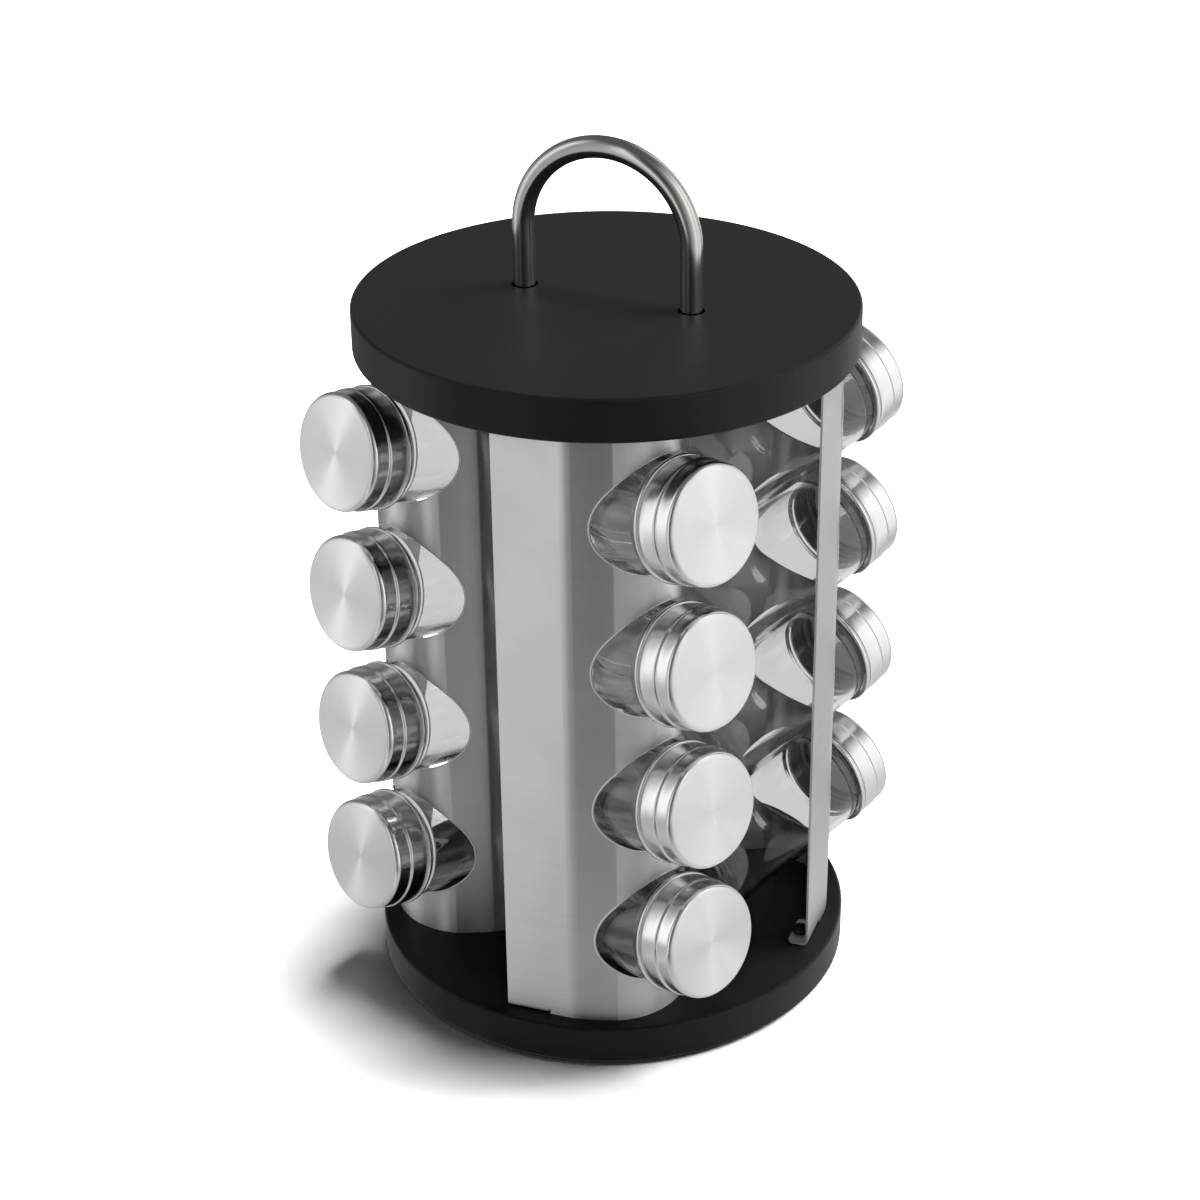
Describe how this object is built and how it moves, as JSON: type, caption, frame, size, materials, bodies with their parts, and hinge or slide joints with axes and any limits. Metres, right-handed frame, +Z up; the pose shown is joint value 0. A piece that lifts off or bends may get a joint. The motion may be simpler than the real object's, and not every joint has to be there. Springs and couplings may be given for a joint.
{
  "type": "spice carousel",
  "caption": "Rotating countertop spice carousel: bowed steel panels between black discs hold tilted glass jars with steel screw caps, under a bent-rod carrying handle.",
  "frame": {"origin": "on the table, under the spin axis", "axes": "+Z up along the spin axis, +X the way column a faces, +Y the way column b faces"},
  "size_m": [0.1942, 0.1942, 0.3275],
  "materials": {
    "disc_lacquer": "satin black lacquer on board",
    "panel_steel": "brushed along the width",
    "handle_steel": "satin, drawn along the rod",
    "cap_steel": "spun face, polished sides",
    "jar_glass": "clear",
    "sifter_plastic": "natural moulded",
    "screw_black": "black oxide",
    "plate_steel": "zinc plated sheet",
    "ball_steel": "polished",
    "pad_rubber": "moulded"
  },
  "bodies": {
    "foot": {"foot_plate": "plate_steel", "rubber_pads": "pad_rubber", "bearing_balls": "ball_steel"},
    "carousel": {"turntable_plate": "plate_steel", "base_disc": "disc_lacquer", "panel_a": "panel_steel", "panel_b": "panel_steel", "panel_c": "panel_steel", "panel_d": "panel_steel", "top_disc": "disc_lacquer", "handle": "handle_steel", "screws": "screw_black"},
    "jar_a1": {"jar_a1": "jar_glass", "sifter_a1": "sifter_plastic"},
    "cap_a1": {"cap_a1": "cap_steel"},
    "jar_a2": {"jar_a2": "jar_glass", "sifter_a2": "sifter_plastic"},
    "cap_a2": {"cap_a2": "cap_steel"},
    "jar_a3": {"jar_a3": "jar_glass", "sifter_a3": "sifter_plastic"},
    "cap_a3": {"cap_a3": "cap_steel"},
    "jar_a4": {"jar_a4": "jar_glass", "sifter_a4": "sifter_plastic"},
    "cap_a4": {"cap_a4": "cap_steel"},
    "jar_b1": {"jar_b1": "jar_glass", "sifter_b1": "sifter_plastic"},
    "cap_b1": {"cap_b1": "cap_steel"},
    "jar_b2": {"jar_b2": "jar_glass", "sifter_b2": "sifter_plastic"},
    "cap_b2": {"cap_b2": "cap_steel"},
    "jar_b3": {"jar_b3": "jar_glass", "sifter_b3": "sifter_plastic"},
    "cap_b3": {"cap_b3": "cap_steel"},
    "jar_b4": {"jar_b4": "jar_glass", "sifter_b4": "sifter_plastic"},
    "cap_b4": {"cap_b4": "cap_steel"},
    "jar_c1": {"jar_c1": "jar_glass", "sifter_c1": "sifter_plastic"},
    "cap_c1": {"cap_c1": "cap_steel"},
    "jar_c2": {"jar_c2": "jar_glass", "sifter_c2": "sifter_plastic"},
    "cap_c2": {"cap_c2": "cap_steel"},
    "jar_c3": {"jar_c3": "jar_glass", "sifter_c3": "sifter_plastic"},
    "cap_c3": {"cap_c3": "cap_steel"},
    "jar_c4": {"jar_c4": "jar_glass", "sifter_c4": "sifter_plastic"},
    "cap_c4": {"cap_c4": "cap_steel"},
    "jar_d1": {"jar_d1": "jar_glass", "sifter_d1": "sifter_plastic"},
    "cap_d1": {"cap_d1": "cap_steel"},
    "jar_d2": {"jar_d2": "jar_glass", "sifter_d2": "sifter_plastic"},
    "cap_d2": {"cap_d2": "cap_steel"},
    "jar_d3": {"jar_d3": "jar_glass", "sifter_d3": "sifter_plastic"},
    "cap_d3": {"cap_d3": "cap_steel"},
    "jar_d4": {"jar_d4": "jar_glass", "sifter_d4": "sifter_plastic"},
    "cap_d4": {"cap_d4": "cap_steel"}
  },
  "joints": [
    {"name": "carousel_spin", "type": "hinge", "parent": "foot", "child": "carousel", "pos_m": [0, 0, 0.0047], "axis": [0, 0, 1], "continuous": true},
    {"name": "jar_a1_pull", "type": "slide", "parent": "carousel", "child": "jar_a1", "axis": [0.9816, 0, 0.1908], "range_m": [0, 0.11]},
    {"name": "cap_a1_lift", "type": "slide", "parent": "jar_a1", "child": "cap_a1", "axis": [0.9816, 0, 0.1908], "range_m": [0, 0.03]},
    {"name": "jar_a2_pull", "type": "slide", "parent": "carousel", "child": "jar_a2", "axis": [0.9816, 0, 0.1908], "range_m": [0, 0.11]},
    {"name": "cap_a2_lift", "type": "slide", "parent": "jar_a2", "child": "cap_a2", "axis": [0.9816, 0, 0.1908], "range_m": [0, 0.03]},
    {"name": "jar_a3_pull", "type": "slide", "parent": "carousel", "child": "jar_a3", "axis": [0.9816, 0, 0.1908], "range_m": [0, 0.11]},
    {"name": "cap_a3_lift", "type": "slide", "parent": "jar_a3", "child": "cap_a3", "axis": [0.9816, 0, 0.1908], "range_m": [0, 0.03]},
    {"name": "jar_a4_pull", "type": "slide", "parent": "carousel", "child": "jar_a4", "axis": [0.9816, 0, 0.1908], "range_m": [0, 0.11]},
    {"name": "cap_a4_lift", "type": "slide", "parent": "jar_a4", "child": "cap_a4", "axis": [0.9816, 0, 0.1908], "range_m": [0, 0.03]},
    {"name": "jar_b1_pull", "type": "slide", "parent": "carousel", "child": "jar_b1", "axis": [0, 0.9816, 0.1908], "range_m": [0, 0.11]},
    {"name": "cap_b1_lift", "type": "slide", "parent": "jar_b1", "child": "cap_b1", "axis": [0, 0.9816, 0.1908], "range_m": [0, 0.03]},
    {"name": "jar_b2_pull", "type": "slide", "parent": "carousel", "child": "jar_b2", "axis": [0, 0.9816, 0.1908], "range_m": [0, 0.11]},
    {"name": "cap_b2_lift", "type": "slide", "parent": "jar_b2", "child": "cap_b2", "axis": [0, 0.9816, 0.1908], "range_m": [0, 0.03]},
    {"name": "jar_b3_pull", "type": "slide", "parent": "carousel", "child": "jar_b3", "axis": [0, 0.9816, 0.1908], "range_m": [0, 0.11]},
    {"name": "cap_b3_lift", "type": "slide", "parent": "jar_b3", "child": "cap_b3", "axis": [0, 0.9816, 0.1908], "range_m": [0, 0.03]},
    {"name": "jar_b4_pull", "type": "slide", "parent": "carousel", "child": "jar_b4", "axis": [0, 0.9816, 0.1908], "range_m": [0, 0.11]},
    {"name": "cap_b4_lift", "type": "slide", "parent": "jar_b4", "child": "cap_b4", "axis": [0, 0.9816, 0.1908], "range_m": [0, 0.03]},
    {"name": "jar_c1_pull", "type": "slide", "parent": "carousel", "child": "jar_c1", "axis": [-0.9816, 0, 0.1908], "range_m": [0, 0.11]},
    {"name": "cap_c1_lift", "type": "slide", "parent": "jar_c1", "child": "cap_c1", "axis": [-0.9816, 0, 0.1908], "range_m": [0, 0.03]},
    {"name": "jar_c2_pull", "type": "slide", "parent": "carousel", "child": "jar_c2", "axis": [-0.9816, 0, 0.1908], "range_m": [0, 0.11]},
    {"name": "cap_c2_lift", "type": "slide", "parent": "jar_c2", "child": "cap_c2", "axis": [-0.9816, 0, 0.1908], "range_m": [0, 0.03]},
    {"name": "jar_c3_pull", "type": "slide", "parent": "carousel", "child": "jar_c3", "axis": [-0.9816, 0, 0.1908], "range_m": [0, 0.11]},
    {"name": "cap_c3_lift", "type": "slide", "parent": "jar_c3", "child": "cap_c3", "axis": [-0.9816, 0, 0.1908], "range_m": [0, 0.03]},
    {"name": "jar_c4_pull", "type": "slide", "parent": "carousel", "child": "jar_c4", "axis": [-0.9816, 0, 0.1908], "range_m": [0, 0.11]},
    {"name": "cap_c4_lift", "type": "slide", "parent": "jar_c4", "child": "cap_c4", "axis": [-0.9816, 0, 0.1908], "range_m": [0, 0.03]},
    {"name": "jar_d1_pull", "type": "slide", "parent": "carousel", "child": "jar_d1", "axis": [0, -0.9816, 0.1908], "range_m": [0, 0.11]},
    {"name": "cap_d1_lift", "type": "slide", "parent": "jar_d1", "child": "cap_d1", "axis": [0, -0.9816, 0.1908], "range_m": [0, 0.03]},
    {"name": "jar_d2_pull", "type": "slide", "parent": "carousel", "child": "jar_d2", "axis": [0, -0.9816, 0.1908], "range_m": [0, 0.11]},
    {"name": "cap_d2_lift", "type": "slide", "parent": "jar_d2", "child": "cap_d2", "axis": [0, -0.9816, 0.1908], "range_m": [0, 0.03]},
    {"name": "jar_d3_pull", "type": "slide", "parent": "carousel", "child": "jar_d3", "axis": [0, -0.9816, 0.1908], "range_m": [0, 0.11]},
    {"name": "cap_d3_lift", "type": "slide", "parent": "jar_d3", "child": "cap_d3", "axis": [0, -0.9816, 0.1908], "range_m": [0, 0.03]},
    {"name": "jar_d4_pull", "type": "slide", "parent": "carousel", "child": "jar_d4", "axis": [0, -0.9816, 0.1908], "range_m": [0, 0.11]},
    {"name": "cap_d4_lift", "type": "slide", "parent": "jar_d4", "child": "cap_d4", "axis": [0, -0.9816, 0.1908], "range_m": [0, 0.03]}
  ]
}
